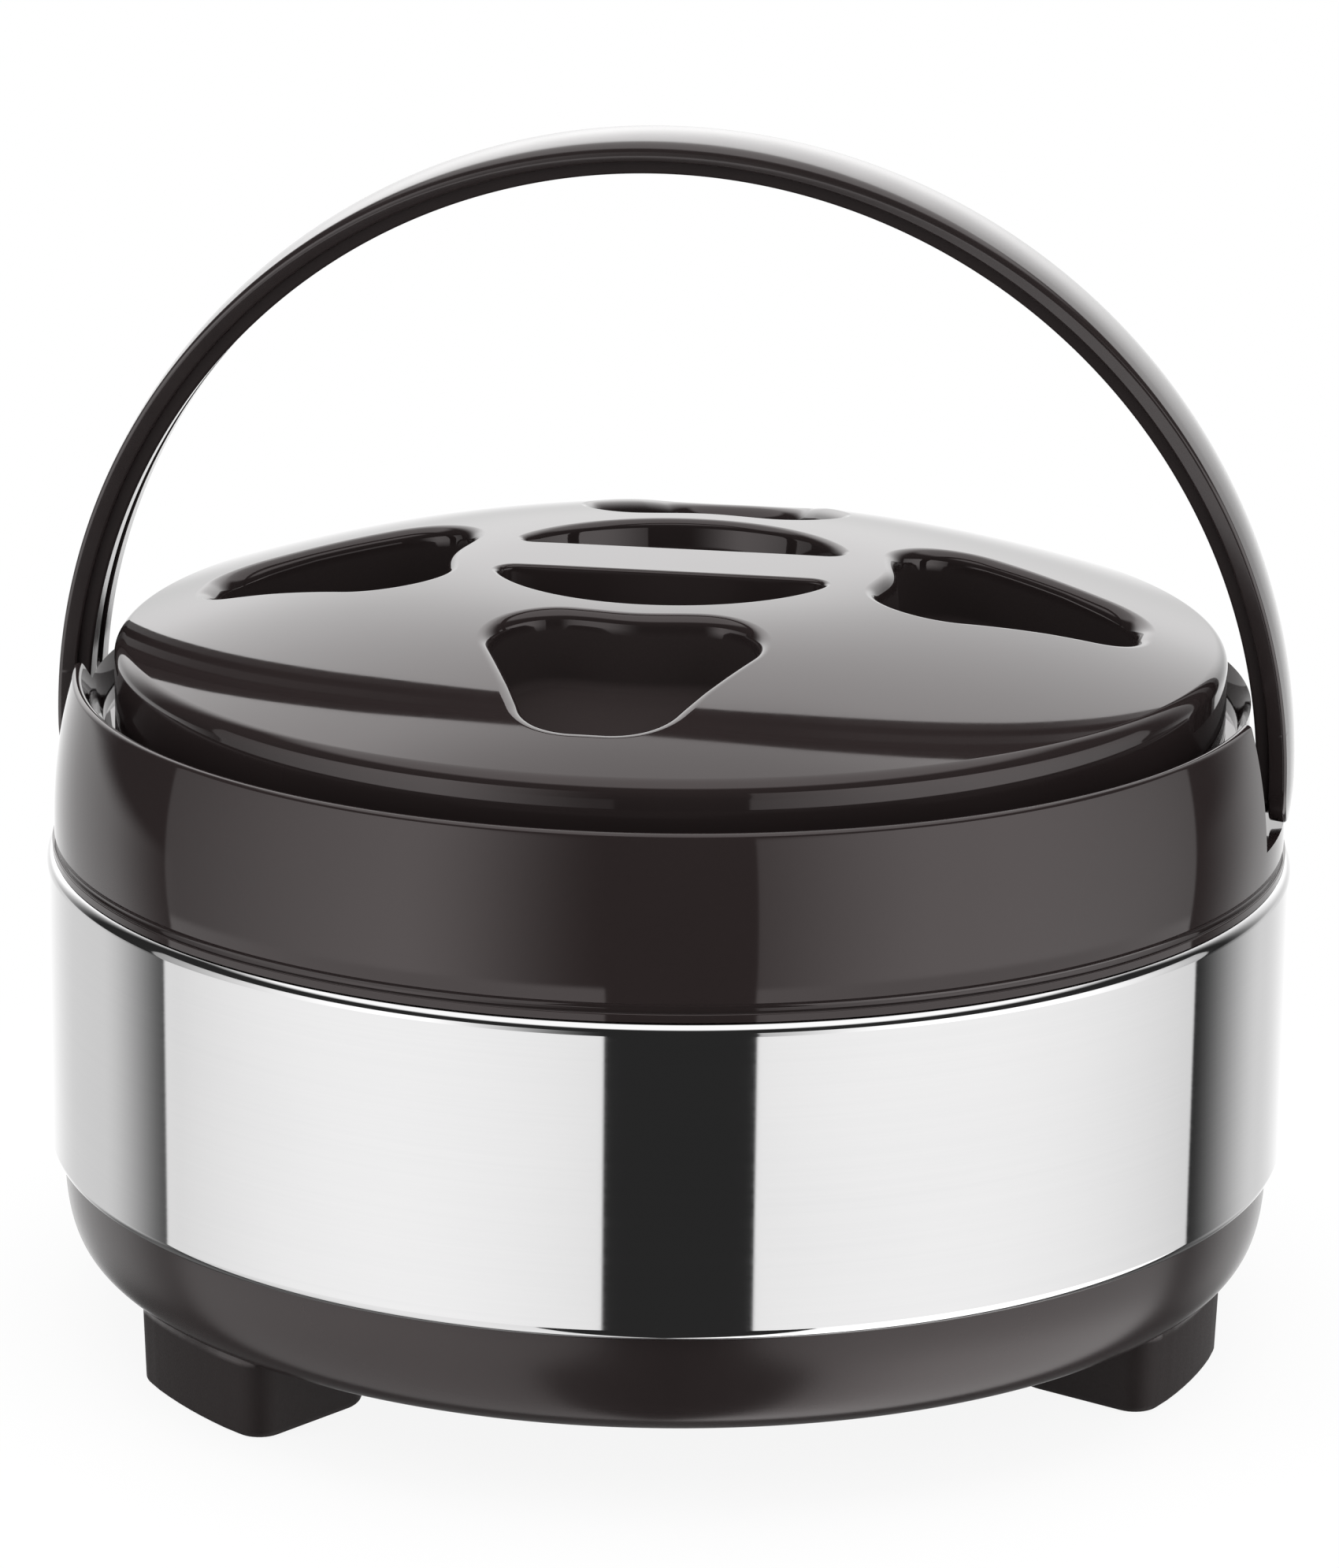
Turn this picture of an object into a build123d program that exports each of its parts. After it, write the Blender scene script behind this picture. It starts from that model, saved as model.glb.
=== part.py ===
import os
from math import cos, radians, sin, sqrt, tan

from build123d import *

os.makedirs("parts", exist_ok=True)

# Overall sizes in millimetres: the floor is z = 0 and X runs through the handle pivots
body_diameter = 240.0
foot_height = 14.6
base_height = 20.8
band_height = 59.5
collar_height = 34.5
lid_rise = 21.8
lid_inset = 13.5
dome_sag = 16.6
pivot_drop = 16.0

# Walls and clearances
sheet = 0.7
wall = 2.6
lid_wall = 2.4
part_gap = 0.3
pin_gap = 0.05
shoulder_gap = 0.2

# Levels from the floor up
band_low = foot_height + base_height
band_top = band_low + band_height
rim_top = band_top + collar_height
lid_top = rim_top + lid_rise
pivot_z = rim_top - pivot_drop
seat_depth = 10.2
seat_z = rim_top - seat_depth
skirt_z = seat_z + part_gap
flange_step = 0.8
flange_z = seat_z - flange_step

# Steel band
band_radius = body_diameter / 2
band_lip = 5.5
band_bend = 2.4

# Collar of the pot
lid_radius = band_radius - lid_inset
ring_inset = 1.2
ring_radius = band_radius - ring_inset
ring_height = 1.5
cove_height = 1.8
cove_inset = 0.7
cove_radius = ring_radius - cove_inset
cove_hollow = 0.15
collar_low_inset = 0.4
collar_mid_inset = 1.4
collar_top_inset = 4.85
collar_low_radius = ring_radius - collar_low_inset
collar_mid_radius = ring_radius - collar_mid_inset
collar_top_radius = ring_radius - collar_top_inset
rim_round = 1.0
rim_slope = 8.7
bore_round = 1.2
rim_thick = 8.5
rim_shoulder = 1.6
lid_clearance = 2.1
rim_bore = lid_radius + lid_clearance

# Cooking pot with its flange
pot_inset = 7.6
pot_flange_inset = 2.0
pot_taper = 1.9
pot_floor_rise = 10.0
pot_mouth = lid_radius - pot_inset
pot_flange = lid_radius - pot_flange_inset
pot_floor_radius = pot_mouth - pot_taper
pot_floor_z = foot_height + pot_floor_rise
pot_corner = 18.0
pot_bend = 2.2

# Bail handle: its outside is flush with the band
bail_radius = band_radius
strap_width = 18.0
strap_thick = 4.2
strap_crown = 0.8
strap_edge = 2.4
flange_width = 14.5
flange_thick = 2.5
groove_width = 4.0
groove_depth = 2.5
groove_stop = 5.0
strap_root = bail_radius - strap_thick
strap_inner = strap_root - flange_thick
pin_radius = 3.5
pin_reach = 7.0
pin_chamfer = 0.6
shoulder_radius = 6.0
bail_lean = 3.0

# Recess round the back of the collar, where the folded handle lies, and its pivots
pocket_floor = rim_bore + wall
pocket_front = 9.5
pocket_under = 0.8
pocket_low = pivot_z - strap_width / 2 - pocket_under
pin_tip = pocket_floor - pin_reach
housing_angle = 12.5
housing_sink = 0.4
housing_low = pocket_low - wall
boss_half = pin_radius + pin_gap + 1.5 * wall

# Base and feet
base_inset = 1.4
base_top_radius = ring_radius - base_inset
spigot_radius = band_radius - band_lip - part_gap
spigot_height = 8.0
spigot_root = 14.4
base_corner = 17.4
base_corner_pull = 3.4
base_corner_lift = 2.0
base_side_wall = 2.8
base_inner_corner = 19.4
base_inner_pull = 5.9
base_inner_lift = 0.9
base_inner_height = 11.4
foot_count = 3
foot_turn = 105.5
foot_set_back = 6.4
foot_length = 31.0
foot_outer = base_top_radius - foot_set_back
foot_inner = foot_outer - foot_length
foot_half_angle = 11.5
foot_outer_round = 6.0
foot_inner_round = 8.0
foot_edge = 1.5
foot_draft = 2.0
foot_sink = 1.6
foot_hollow_sink = 3.0
plug_radius = 8.0
plug_head = 10.0
plug_thick = 1.2
plug_edge = 0.8

# Recesses in the lid
dome_radius = (lid_radius**2 + dome_sag**2) / (2 * dome_sag)
dome_centre = lid_top - dome_radius
pole_aside = (0, 90, 0)
bowl_radius = 34.5
bowl_depth = 16.0
bowl_corner = 3.5
bowl_lip = 1.4
bowl_floor_round = 1.5
bar_half = 9.5
petal_count = 4
petal_spacing = 6.0
petal_margin = 16.5
petal_spread = 0.78
petal_inner = bowl_radius + petal_spacing
petal_outer = lid_radius - petal_margin
petal_inner_half = petal_spread * petal_inner
petal_outer_half = 11.5
petal_inner_round = 13.0
petal_outer_round = 8.0
petal_depth = 14.0
petal_lip = 2.0
petal_floor_round = 2.0
recess_draft = 6.0
lid_edge_round = 3.5

# Lid liner and foam
liner_gap = 4.0
plug_depth = 4.5
liner_ledge = 1.8
plug_clearance = 2.1
plug_wall_radius = pot_mouth - plug_clearance
pan_z = seat_z - plug_depth
foam_top = housing_low - part_gap
foam_corner = 20.4
foam_corner_drop = 4.0
lid_foam_drop = 13.0
lid_foam_top = lid_top - petal_depth - lid_wall - lid_foam_drop
lid_foam_edge = 2.4
lid_foam_edge_share = 0.4


def dome_height(radius, drop=0.0):
    return dome_centre + sqrt((dome_radius - drop) ** 2 - radius**2)


def sheet_section(points, rounds):
    # Bent sheet: a path with rounded bends, thickened to its right-hand side
    with BuildSketch() as section:
        with BuildLine() as path:
            Polyline(*points)
            for corner, radius in rounds:
                bend = path.vertices().sort_by_distance(corner)[0]
                fillet(bend, radius=radius)
            offset(amount=sheet, side=Side.RIGHT)
        make_face()
    return section.sketch


def petal_outline(grow):
    with BuildSketch() as outline:
        with BuildLine():
            Polyline(
                (petal_inner, -petal_inner_half),
                (petal_outer, -petal_outer_half),
                (petal_outer, petal_outer_half),
                (petal_inner, petal_inner_half),
                close=True,
            )
        make_face()
        fillet(outline.vertices().group_by(Axis.X)[-1], radius=petal_outer_round)
        fillet(outline.vertices().group_by(Axis.X)[0], radius=petal_inner_round)
        if grow:
            offset(amount=grow)
    return outline.sketch


def bowl_outline(grow):
    with BuildSketch() as outline:
        Circle(bowl_radius)
        with Locations((0, bar_half - bowl_radius)):
            Rectangle(2 * bowl_radius, 2 * bowl_radius, mode=Mode.SUBTRACT)
        fillet(outline.vertices(), radius=bowl_corner)
        if grow:
            offset(amount=grow)
    return outline.sketch


def recess(outline, reach, grow, depth, floor_round):
    # Block that leaves a recess with drafted walls and a rounded floor that follows the dome
    block_height = lid_top - dome_height(reach, depth) + 2 * wall
    with BuildPart() as block:
        with BuildSketch(Plane.XY.offset(lid_top)):
            add(outline(grow))
        with BuildSketch(Plane.XY.offset(lid_top - block_height)):
            add(outline(grow - block_height * tan(radians(recess_draft))))
        loft()
        with Locations((0, 0, dome_centre)):
            Sphere(dome_radius - depth - grow, rotation=pole_aside, mode=Mode.SUBTRACT)
        fillet(block.faces().filter_by(GeomType.SPHERE).edges(), radius=floor_round + grow)
    return block.part


def foot_outline(inset):
    outer_x = foot_outer * cos(radians(foot_half_angle))
    outer_y = foot_outer * sin(radians(foot_half_angle))
    inner_x = foot_inner * cos(radians(foot_half_angle))
    inner_y = foot_inner * sin(radians(foot_half_angle))
    with BuildSketch() as outline:
        with BuildLine():
            ThreePointArc((outer_x, -outer_y), (foot_outer, 0), (outer_x, outer_y))
            Line((outer_x, outer_y), (inner_x, inner_y))
            Line((inner_x, inner_y), (inner_x, -inner_y))
            Line((inner_x, -inner_y), (outer_x, -outer_y))
        make_face()
        fillet(outline.vertices().group_by(Axis.X)[-1], radius=foot_outer_round)
        fillet(outline.vertices().group_by(Axis.X)[0], radius=foot_inner_round)
        if inset:
            offset(amount=-inset)
    return outline.sketch


def foot_block(inset, low, high):
    # Drafted block with the plan of a foot, narrowing towards the floor
    with BuildPart() as block:
        with BuildSketch(Plane.XY.offset(high)):
            add(foot_outline(inset))
        with BuildSketch(Plane.XY.offset(low)):
            add(foot_outline(inset + (high - low) * tan(radians(foot_draft))))
        loft()
    return block.part


# Polished steel band around the body
with BuildPart() as outer_shell:
    lip = band_radius - band_lip
    with BuildSketch(Plane.XZ):
        add(
            sheet_section(
                [(lip, band_top), (band_radius, band_top), (band_radius, band_low), (lip, band_low)],
                [((band_radius, band_top), band_bend), ((band_radius, band_low), band_bend)],
            )
        )
    revolve(axis=Axis.Z)

# Drawn steel pot that hangs from the collar by its flange
with BuildPart() as inner_pot:
    with BuildSketch(Plane.XZ):
        add(
            sheet_section(
                [
                    (pot_flange, flange_z),
                    (pot_mouth, flange_z),
                    (pot_floor_radius, pot_floor_z),
                    (0, pot_floor_z),
                ],
                [((pot_mouth, flange_z), pot_bend), ((pot_floor_radius, pot_floor_z), pot_corner)],
            )
        )
    revolve(axis=Axis.Z)

# Moulded base with a spigot inside the band and three feet under it
with BuildPart() as base_cover:
    spigot_in = spigot_radius - wall
    floor_in = foot_height + wall
    side_in = base_top_radius - base_side_wall
    with BuildSketch(Plane.XZ):
        with BuildLine():
            Bezier(
                (base_top_radius, band_low),
                (base_top_radius, foot_height + base_corner_lift),
                (base_top_radius - base_corner_pull, foot_height),
                (base_top_radius - base_corner, foot_height),
            )
            Line((base_top_radius - base_corner, foot_height), (plug_radius, foot_height))
            Line((plug_radius, foot_height), (plug_radius, floor_in))
            Line((plug_radius, floor_in), (base_top_radius - base_inner_corner, floor_in))
            Bezier(
                (base_top_radius - base_inner_corner, floor_in),
                (base_top_radius - base_inner_pull, floor_in),
                (side_in, floor_in + base_inner_lift),
                (side_in, floor_in + base_inner_height),
            )
            Polyline(
                (side_in, floor_in + base_inner_height),
                (spigot_in, floor_in + spigot_root),
                (spigot_in, band_low + spigot_height),
                (spigot_radius, band_low + spigot_height),
                (spigot_radius, band_low),
                (base_top_radius, band_low),
            )
        make_face()
    revolve(axis=Axis.Z)
    with PolarLocations(0, foot_count, start_angle=foot_turn):
        add(foot_block(0, 0, foot_height + foot_sink))
    fillet(base_cover.faces().filter_by(Axis.Z).group_by(Axis.Z)[0].edges(), radius=foot_edge)
    with PolarLocations(0, foot_count, start_angle=foot_turn):
        add(foot_block(wall, wall, floor_in + foot_hollow_sink), mode=Mode.SUBTRACT)

# Plug that closes the foam filling hole in the base
with BuildPart() as fill_plug:
    shank = plug_radius - pin_gap
    with BuildSketch(Plane.XZ):
        with BuildLine():
            Polyline(
                (0, foot_height - plug_thick),
                (plug_head - plug_edge, foot_height - plug_thick),
                (plug_head, foot_height - plug_thick + plug_edge),
                (plug_head, foot_height),
                (shank, foot_height),
                (shank, foot_height + wall - plug_edge),
                (shank - plug_edge, foot_height + wall),
                (0, foot_height + wall),
                close=True,
            )
        make_face()
    revolve(axis=Axis.Z)

# Foam between the pot, the band and the base
with BuildPart() as body_insulation:
    foam_low = foot_height + wall + part_gap
    foam_spigot = spigot_radius - wall - part_gap
    foam_band = band_radius - sheet - part_gap
    foam_neck = band_radius - band_lip - part_gap
    with BuildSketch(Plane.XZ) as foam_section:
        with BuildLine():
            Polyline(
                (0, foam_low),
                (base_top_radius - foam_corner, foam_low),
                (foam_spigot, band_low - foam_corner_drop),
                (foam_spigot, band_low + spigot_height + part_gap),
                (foam_band, band_low + spigot_height + part_gap),
                (foam_band, band_top - sheet - band_bend),
                (foam_neck, band_top - sheet - band_bend),
                (foam_neck, foam_top),
                (0, foam_top),
                close=True,
            )
        make_face()
        with BuildLine() as pot_room:
            Polyline(
                (0, foam_top),
                (pot_mouth + part_gap, foam_top),
                (pot_floor_radius + part_gap, pot_floor_z - part_gap),
                (0, pot_floor_z - part_gap),
                close=True,
            )
            room_corner = (pot_floor_radius + part_gap, pot_floor_z - part_gap)
            fillet(pot_room.vertices().sort_by_distance(room_corner)[0], radius=pot_corner + part_gap)
        make_face(mode=Mode.SUBTRACT)
    revolve(axis=Axis.Z)

# Gloss collar: outer wall, rounded rim, lid groove and seat for the pot flange
with BuildPart() as collar:
    ring_top = band_top + ring_height
    cove_top = ring_top + cove_height
    wall_mid = (cove_top + rim_top) / 2
    rim_in = rim_top - rim_slope
    hollow_in = rim_bore + lid_wall
    hollow_top = rim_top - rim_thick
    hollow_out = collar_top_radius - rim_shoulder
    seat_low = flange_z - lid_wall
    seat_in = pot_mouth + pot_bend + part_gap
    seat_step = pot_flange + part_gap
    with BuildSketch(Plane.XZ) as collar_section:
        with BuildLine():
            Line((ring_radius, band_top), (ring_radius, ring_top))
            Line((ring_radius, ring_top), (cove_radius, ring_top))
            ThreePointArc(
                (cove_radius, ring_top),
                (cove_radius - cove_hollow, (ring_top + cove_top) / 2),
                (collar_low_radius, cove_top),
            )
            ThreePointArc(
                (collar_low_radius, cove_top),
                (collar_mid_radius, wall_mid),
                (collar_top_radius, rim_top),
            )
            Polyline(
                (collar_top_radius, rim_top),
                (rim_bore, rim_in),
                (rim_bore, seat_z),
                (seat_step, seat_z),
                (seat_step, flange_z),
                (seat_in, flange_z),
                (seat_in, seat_low),
                (hollow_in, seat_low),
                (hollow_in, hollow_top),
                (hollow_out, hollow_top),
            )
            ThreePointArc(
                (hollow_out, hollow_top),
                (collar_mid_radius - wall, wall_mid),
                (collar_low_radius - wall, cove_top),
            )
            Polyline(
                (collar_low_radius - wall, cove_top),
                (collar_low_radius - wall, band_top),
                (ring_radius, band_top),
            )
        make_face()
        rim_corner = collar_section.vertices().sort_by_distance((collar_top_radius, rim_top))[0]
        fillet(rim_corner, radius=rim_round)
        bore_corner = collar_section.vertices().sort_by_distance((rim_bore, rim_in))[0]
        fillet(bore_corner, radius=bore_round)
    revolve(axis=Axis.Z)
    block_in = rim_bore + housing_sink / 2
    block_out = hollow_out + rim_shoulder / 2
    block_top = hollow_top + housing_sink
    with BuildSketch(Plane.XZ.rotated((0, 0, -housing_angle))):
        with BuildLine():
            Line((block_in, housing_low), (collar_low_radius - wall / 2, housing_low))
            ThreePointArc(
                (collar_low_radius - wall / 2, housing_low),
                (collar_mid_radius - wall / 2, wall_mid),
                (block_out, block_top),
            )
            Line((block_out, block_top), (block_in, block_top))
            Line((block_in, block_top), (block_in, housing_low))
        make_face()
    revolve(axis=Axis.Z, revolution_arc=180 + 2 * housing_angle)
    with PolarLocations(pin_tip - part_gap, 2):
        with Locations((0, 0, pivot_z - boss_half)):
            Box(
                pin_reach + part_gap + wall / 2,
                2 * boss_half,
                seat_low + wall / 2 - pivot_z + boss_half,
                align=(Align.MIN, Align.CENTER, Align.MIN),
            )
    with BuildSketch(Plane.XZ.rotated((0, 0, -pocket_front))):
        with Locations((pocket_floor, pocket_low)):
            Rectangle(band_radius - pocket_floor, lid_top - pocket_low, align=Align.MIN)
    revolve(axis=Axis.Z, revolution_arc=180 + 2 * pocket_front, mode=Mode.SUBTRACT)
    for side in (0, 180):
        with BuildSketch(Plane.YZ.rotated((0, 0, side)).offset(pocket_floor)):
            with Locations((0, pivot_z)):
                Circle(pin_radius + pin_gap)
        extrude(amount=-pin_reach - part_gap, mode=Mode.SUBTRACT)

# One end of the bail: rounded strap end, shoulder and pivot pin
with BuildPart() as bail_end:
    with BuildSketch(Plane.XY.offset(pivot_z)) as half_strap:
        with BuildLine():
            Polyline(
                (strap_inner, 0),
                (strap_inner, flange_width / 2),
                (strap_root, flange_width / 2),
                (strap_root, strap_width / 2),
                (bail_radius - strap_crown, strap_width / 2),
            )
            RadiusArc(
                (bail_radius - strap_crown, strap_width / 2),
                (bail_radius, 0),
                (strap_width**2 / 4 + strap_crown**2) / (2 * strap_crown),
            )
            Line((bail_radius, 0), (strap_inner, 0))
        make_face()
        half_edge = half_strap.vertices().sort_by_distance((bail_radius, strap_width / 2))[0]
        fillet(half_edge, radius=strap_edge)
    revolve(axis=Axis((0, 0, pivot_z), (-1, 0, 0)), revolution_arc=180)
    with BuildSketch(Plane.YZ.offset(pocket_floor + shoulder_gap)):
        with Locations((0, pivot_z)):
            Circle(shoulder_radius)
    extrude(amount=strap_inner - pocket_floor)
    with BuildSketch(Plane.YZ.offset(pin_tip)):
        with Locations((0, pivot_z)):
            Circle(pin_radius)
    extrude(amount=strap_root - pin_tip)
    chamfer(bail_end.faces().sort_by(Axis.X)[0].edges(), length=pin_chamfer)

# Bail: strap with an inner flange, arched from pivot to pivot
with BuildPart() as upright_bail:
    pivot_axis = Axis((0, 0, pivot_z), (0, -1, 0))
    with BuildSketch(Plane.XY.offset(pivot_z)) as strap:
        with BuildLine():
            ThreePointArc(
                (bail_radius - strap_crown, -strap_width / 2),
                (bail_radius, 0),
                (bail_radius - strap_crown, strap_width / 2),
            )
            Polyline(
                (bail_radius - strap_crown, strap_width / 2),
                (strap_root, strap_width / 2),
                (strap_root, flange_width / 2),
                (strap_inner, flange_width / 2),
                (strap_inner, -flange_width / 2),
                (strap_root, -flange_width / 2),
                (strap_root, -strap_width / 2),
                (bail_radius - strap_crown, -strap_width / 2),
            )
        make_face()
        for edge_y in (-strap_width / 2, strap_width / 2):
            fillet(strap.vertices().sort_by_distance((bail_radius, edge_y))[0], radius=strap_edge)
    revolve(axis=pivot_axis, revolution_arc=180)
    with PolarLocations(0, 2):
        add(bail_end.part)
    start = Vector(cos(radians(groove_stop)), 0, sin(radians(groove_stop)))
    groove_plane = Plane((0, 0, pivot_z), x_dir=start, z_dir=Vector(-start.Z, 0, start.X))
    with BuildSketch(groove_plane):
        with Locations((strap_inner, 0)):
            Rectangle(2 * groove_depth, groove_width)
    revolve(axis=pivot_axis, revolution_arc=180 - 2 * groove_stop, mode=Mode.SUBTRACT)

# Handle as it stands: the bail tipped a little towards the front
with BuildPart() as handle:
    add(upright_bail.part.rotate(Axis((0, 0, pivot_z), (1, 0, 0)), bail_lean))

# Room under the lid's skin, kept one wall away from every recess
with BuildPart() as lid_room:
    flange_in = lid_radius - lid_wall
    flange_top = skirt_z + liner_gap
    shoulder_in = flange_in - liner_ledge
    with BuildSketch(Plane.XZ):
        with BuildLine():
            Polyline(
                (0, skirt_z),
                (flange_in, skirt_z),
                (flange_in, flange_top),
                (shoulder_in, flange_top),
                (shoulder_in, dome_height(shoulder_in, lid_wall)),
            )
            ThreePointArc(
                (shoulder_in, dome_height(shoulder_in, lid_wall)),
                (shoulder_in / 2, dome_height(shoulder_in / 2, lid_wall)),
                (0, lid_top - lid_wall),
            )
            Line((0, lid_top - lid_wall), (0, skirt_z))
        make_face()
    revolve(axis=Axis.Z)
    with PolarLocations(0, petal_count):
        add(recess(petal_outline, petal_outer, lid_wall, petal_depth, petal_floor_round), mode=Mode.SUBTRACT)
    with PolarLocations(0, 2):
        add(recess(bowl_outline, bowl_radius, lid_wall, bowl_depth, bowl_floor_round), mode=Mode.SUBTRACT)

# Gloss lid: dome with petal recesses, and a finger bowl bridged by a bar
with BuildPart() as lid_cover:
    with BuildSketch(Plane.XY.offset(skirt_z)):
        Circle(lid_radius)
    extrude(amount=lid_top - skirt_z)
    with Locations((0, 0, dome_centre)):
        Sphere(dome_radius, rotation=pole_aside, mode=Mode.INTERSECT)
    fillet(lid_cover.faces().filter_by(GeomType.SPHERE).edges(), radius=lid_edge_round)
    with PolarLocations(0, petal_count):
        add(recess(petal_outline, petal_outer, 0, petal_depth, petal_floor_round), mode=Mode.SUBTRACT)
    dome = lid_cover.faces().filter_by(GeomType.SPHERE).sort_by(SortBy.AREA)[-1]
    petal_edges = [edge for loop in dome.inner_wires() for edge in loop.edges()]
    fillet(petal_edges, radius=petal_lip)
    with PolarLocations(0, 2):
        add(recess(bowl_outline, bowl_radius, 0, bowl_depth, bowl_floor_round), mode=Mode.SUBTRACT)
    dome = lid_cover.faces().filter_by(GeomType.SPHERE).sort_by(SortBy.AREA)[-1]
    bowl_edges = []
    for loop in dome.inner_wires():
        middle = loop.bounding_box().center()
        if abs(middle.X) + abs(middle.Y) < petal_inner:
            bowl_edges += loop.edges()
    fillet(bowl_edges, radius=bowl_lip)
    add(lid_room.part, mode=Mode.SUBTRACT)

# Foam disc inside the lid
with BuildPart() as lid_insulation:
    foam_z = pan_z + sheet + part_gap
    with BuildSketch(Plane.XY.offset(foam_z)):
        Circle(plug_wall_radius - sheet - 2 * part_gap)
    extrude(amount=lid_foam_top - foam_z)
    foam_edge = min(lid_foam_edge, lid_foam_edge_share * (lid_foam_top - foam_z))
    chamfer(lid_insulation.edges(), length=foam_edge)

# Steel liner under the lid: a shallow pan that plugs the mouth of the pot
with BuildPart() as lid_liner:
    liner_radius = lid_radius - lid_wall - part_gap
    liner_z = skirt_z + liner_gap - part_gap - sheet
    with BuildSketch(Plane.XZ):
        add(
            sheet_section(
                [
                    (liner_radius, liner_z),
                    (plug_wall_radius, liner_z),
                    (plug_wall_radius, pan_z),
                    (0, pan_z),
                ],
                [((plug_wall_radius, liner_z), pot_bend), ((plug_wall_radius, pan_z), pot_bend)],
            )
        )
    revolve(axis=Axis.Z)

# Labels and files
pieces = {
    "outer_shell": outer_shell,
    "inner_pot": inner_pot,
    "base_cover": base_cover,
    "fill_plug": fill_plug,
    "body_insulation": body_insulation,
    "collar": collar,
    "handle": handle,
    "lid_cover": lid_cover,
    "lid_insulation": lid_insulation,
    "lid_liner": lid_liner,
}
for label, piece in pieces.items():
    piece.part.label = label
    export_step(piece.part, f"parts/{label}.step")
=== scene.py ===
from math import atan2, cos, pi, radians, sin, sqrt, tan

import bmesh
import bpy
import numpy as np
from mathutils import Matrix, Quaternion, Vector
from mathutils.geometry import delaunay_2d_cdt, interpolate_bezier


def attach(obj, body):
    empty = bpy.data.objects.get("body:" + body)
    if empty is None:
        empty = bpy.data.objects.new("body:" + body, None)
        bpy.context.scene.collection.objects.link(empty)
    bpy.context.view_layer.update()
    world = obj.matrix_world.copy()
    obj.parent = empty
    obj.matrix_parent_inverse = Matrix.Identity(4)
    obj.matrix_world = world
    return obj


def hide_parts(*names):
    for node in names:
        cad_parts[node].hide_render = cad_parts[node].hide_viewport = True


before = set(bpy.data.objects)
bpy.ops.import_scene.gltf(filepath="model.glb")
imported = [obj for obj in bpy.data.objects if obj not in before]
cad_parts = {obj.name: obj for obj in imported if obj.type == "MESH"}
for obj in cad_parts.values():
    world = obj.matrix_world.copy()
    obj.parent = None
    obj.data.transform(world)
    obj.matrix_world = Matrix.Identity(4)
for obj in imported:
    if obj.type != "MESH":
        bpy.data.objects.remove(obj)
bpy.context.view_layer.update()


# The polished band is the outside of the body: one strip of stainless steel, rolled in at both edges.
# It is buffed to a mirror, with the faintest lines left by the polishing wheel running round it.
# The collar sits on its upper edge and the base is pressed into its lower one.

mm = 0.001
band_radius, band_low, band_top = 120.0, 35.4, 94.9
band_lip, band_bend, sheet = 114.5, 2.4, 0.7
band_greys = (0.60, 0.60, 0.605, 1), (0.665, 0.66, 0.66, 1)
crease = radians(32)


class Shade:
    # One value in a material's nodes, so that shader sums read as plain Python
    def __init__(self, tree, socket=None):
        self.tree = tree
        self.socket = socket

    def node(self, kind, settings, sockets, output=0):
        made = self.tree.nodes.new(kind)
        for name, value in settings.items():
            setattr(made, name, value)
        for name, value in sockets.items():
            if isinstance(value, Shade):
                self.tree.links.new(value.socket, made.inputs[name])
            else:
                made.inputs[name].default_value = value
        return Shade(self.tree, made.outputs[output] if len(made.outputs) else None)

    def maths(self, operation, first, second=0.0):
        return self.node("ShaderNodeMath", {"operation": operation}, {0: first, 1: second})

    def __add__(self, other):
        return self.maths("ADD", self, other)

    def __radd__(self, other):
        return self.maths("ADD", other, self)

    def __sub__(self, other):
        return self.maths("SUBTRACT", self, other)

    def __rsub__(self, other):
        return self.maths("SUBTRACT", other, self)

    def __mul__(self, other):
        return self.maths("MULTIPLY", self, other)

    def __rmul__(self, other):
        return self.maths("MULTIPLY", other, self)


def new_finish(name):
    # An empty material, its nodes ready for shader sums, and the place on the dish of each of its points
    finish = bpy.data.materials.new(name)
    finish.use_nodes = True
    finish.node_tree.nodes.clear()
    shade = Shade(finish.node_tree)
    return finish, shade, shade.node("ShaderNodeTexCoord", {}, {}, "Object")


def surface(shade, sockets):
    # The material's one Principled surface, joined to its output
    skin = shade.node("ShaderNodeBsdfPrincipled", {}, sockets)
    shade.node("ShaderNodeOutputMaterial", {}, {"Surface": skin})


def axes(shade, vector):
    # The parts of a place or a direction along x, y and z
    parts = shade.node("ShaderNodeSeparateXYZ", {}, {"Vector": vector}).socket.node.outputs
    return [Shade(shade.tree, part) for part in parts]


def length(shade, first, second):
    # The distance that two steps at right angles make
    return shade.maths("SQRT", first * first + second * second)


def mix_colours(shade, factor, first, second):
    return shade.node("ShaderNodeMix", {"data_type": "RGBA"}, {"Factor": factor, 6: first, 7: second}, 2)


def noise(shade, vector, scale, detail=2.0):
    return shade.node("ShaderNodeTexNoise", {}, {"Vector": vector, "Scale": scale, "Detail": detail})


def wheel_lines(shade, x, y, up, stretch, pitch):
    # Fine lines that run round the dish, as polishing or spinning leaves them
    parts = {"X": x * stretch, "Y": y * stretch, "Z": up * pitch}
    return noise(shade, shade.node("ShaderNodeCombineXYZ", {}, parts), 1.0, 3.0)


def bump(shade, height, strength, depth):
    return shade.node("ShaderNodeBump", {}, {"Height": height, "Strength": strength, "Distance": depth})


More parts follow.
